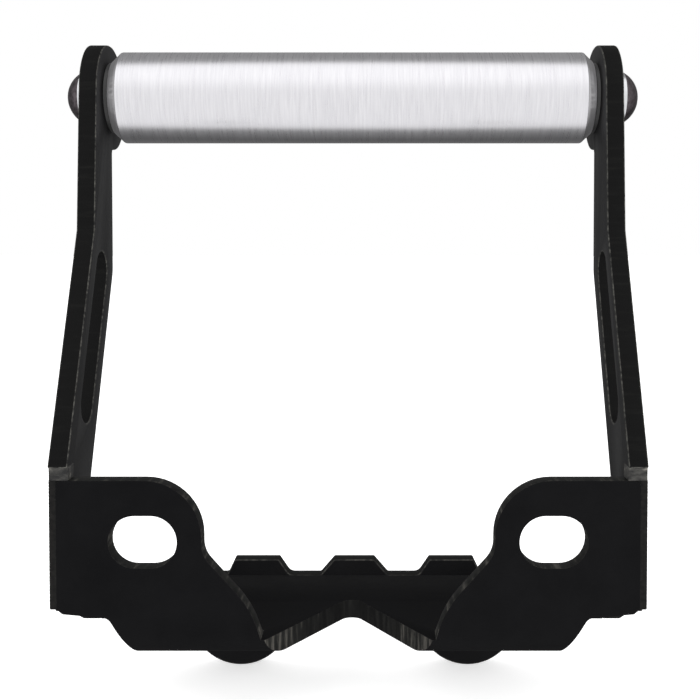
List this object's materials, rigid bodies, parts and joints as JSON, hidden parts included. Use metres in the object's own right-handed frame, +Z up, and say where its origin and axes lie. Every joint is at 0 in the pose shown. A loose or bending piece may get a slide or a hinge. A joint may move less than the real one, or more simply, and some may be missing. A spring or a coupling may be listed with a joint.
{
  "type": "quick coupler frame",
  "caption": "Plate coupler frame with a free-turning cross bar between dogleg arms, slotted bolt-on ears, a notched base and rounded lugs below.",
  "frame": {"origin": "middle of the cross bar, on its axis", "axes": "+X along the cross bar towards the right arm, -Y towards the face of the ears, +Z up from the base to the cross bar"},
  "size_m": [0.328, 0.1203, 0.368],
  "materials": {
    "plate_paint": "satin black coat over rolled steel plate",
    "weld_paint": "satin black coat over weld beads",
    "tube_steel": "fine turned steel with circumferential marks",
    "collar_steel": "turned steel, duller than the tube",
    "axle_steel": "drawn steel bar",
    "nylon": "black nylon washer",
    "screw_steel": "dull phosphated steel head",
    "washer_steel": "zinc plated steel washer"
  },
  "bodies": {
    "coupler_frame": {"left_arm": "plate_paint", "right_arm": "plate_paint", "base_bracket": "plate_paint", "lug_plate": "plate_paint", "axle_bar": "axle_steel", "left_thrust_washer": "nylon", "right_thrust_washer": "nylon", "left_axle_screw": "screw_steel", "right_axle_screw": "screw_steel", "left_screw_washer": "washer_steel", "right_screw_washer": "washer_steel", "left_corner_weld": "weld_paint", "right_corner_weld": "weld_paint", "left_ear_weld": "weld_paint", "right_ear_weld": "weld_paint", "left_foot_weld": "weld_paint", "right_foot_weld": "weld_paint", "lug_plate_weld": "weld_paint"},
    "roller": {"roller_tube": "tube_steel", "left_bushing": "collar_steel", "right_bushing": "collar_steel"}
  },
  "joints": [
    {"name": "roller_spin", "type": "hinge", "parent": "coupler_frame", "child": "roller", "pos_m": [0, 0, 0], "axis": [1, 0, 0], "continuous": true}
  ]
}
